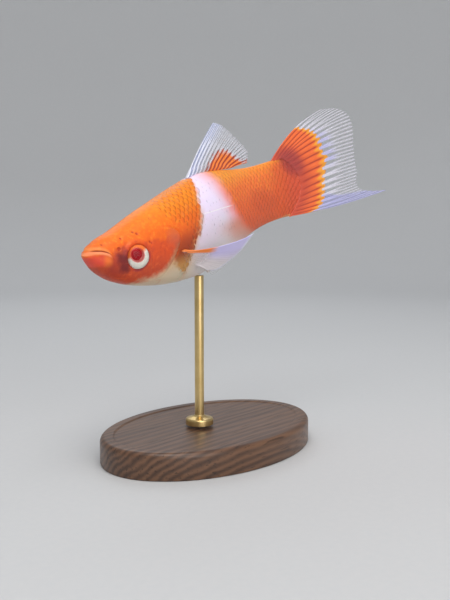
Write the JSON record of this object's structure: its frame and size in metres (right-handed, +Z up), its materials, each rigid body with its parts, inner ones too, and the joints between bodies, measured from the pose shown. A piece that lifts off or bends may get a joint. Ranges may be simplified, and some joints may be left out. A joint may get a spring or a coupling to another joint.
{
  "type": "koi swordtail fish model on a display stand",
  "caption": "Life-size koi swordtail swimming nose down, with a short sword on its tail fin, held by a rod on a small oval base.",
  "frame": {"origin": "bottom centre of the model's box, on the underside of the stand", "axes": "+X from head to tail, +Z up, +Y towards the fish's right side"},
  "size_m": [0.0746, 0.03, 0.0619],
  "materials": {
    "skin": "moist scaled skin, orange-red with a white saddle and a pale belly",
    "fin": "thin translucent membrane with pale rays, orange at the roots",
    "eye": "clear wet cornea over a cream ring and a red pupil",
    "stand_wood": "oiled dark walnut",
    "stand_rod": "satin"
  },
  "bodies": {
    "root": {"head": "skin", "jaw": "skin", "gill_cover_left": "skin", "gill_cover_right": "skin", "torso": "skin", "tail": "skin", "eye_left": "eye", "eye_right": "eye", "fin_dorsal": "fin", "fin_caudal": "fin", "fin_pectoral_left": "fin", "fin_pectoral_right": "fin", "fin_pelvic_left": "fin", "fin_pelvic_right": "fin", "gonopodium": "fin", "stand_base": "stand_wood", "stand_rod": "stand_rod"}
  },
  "joints": []
}
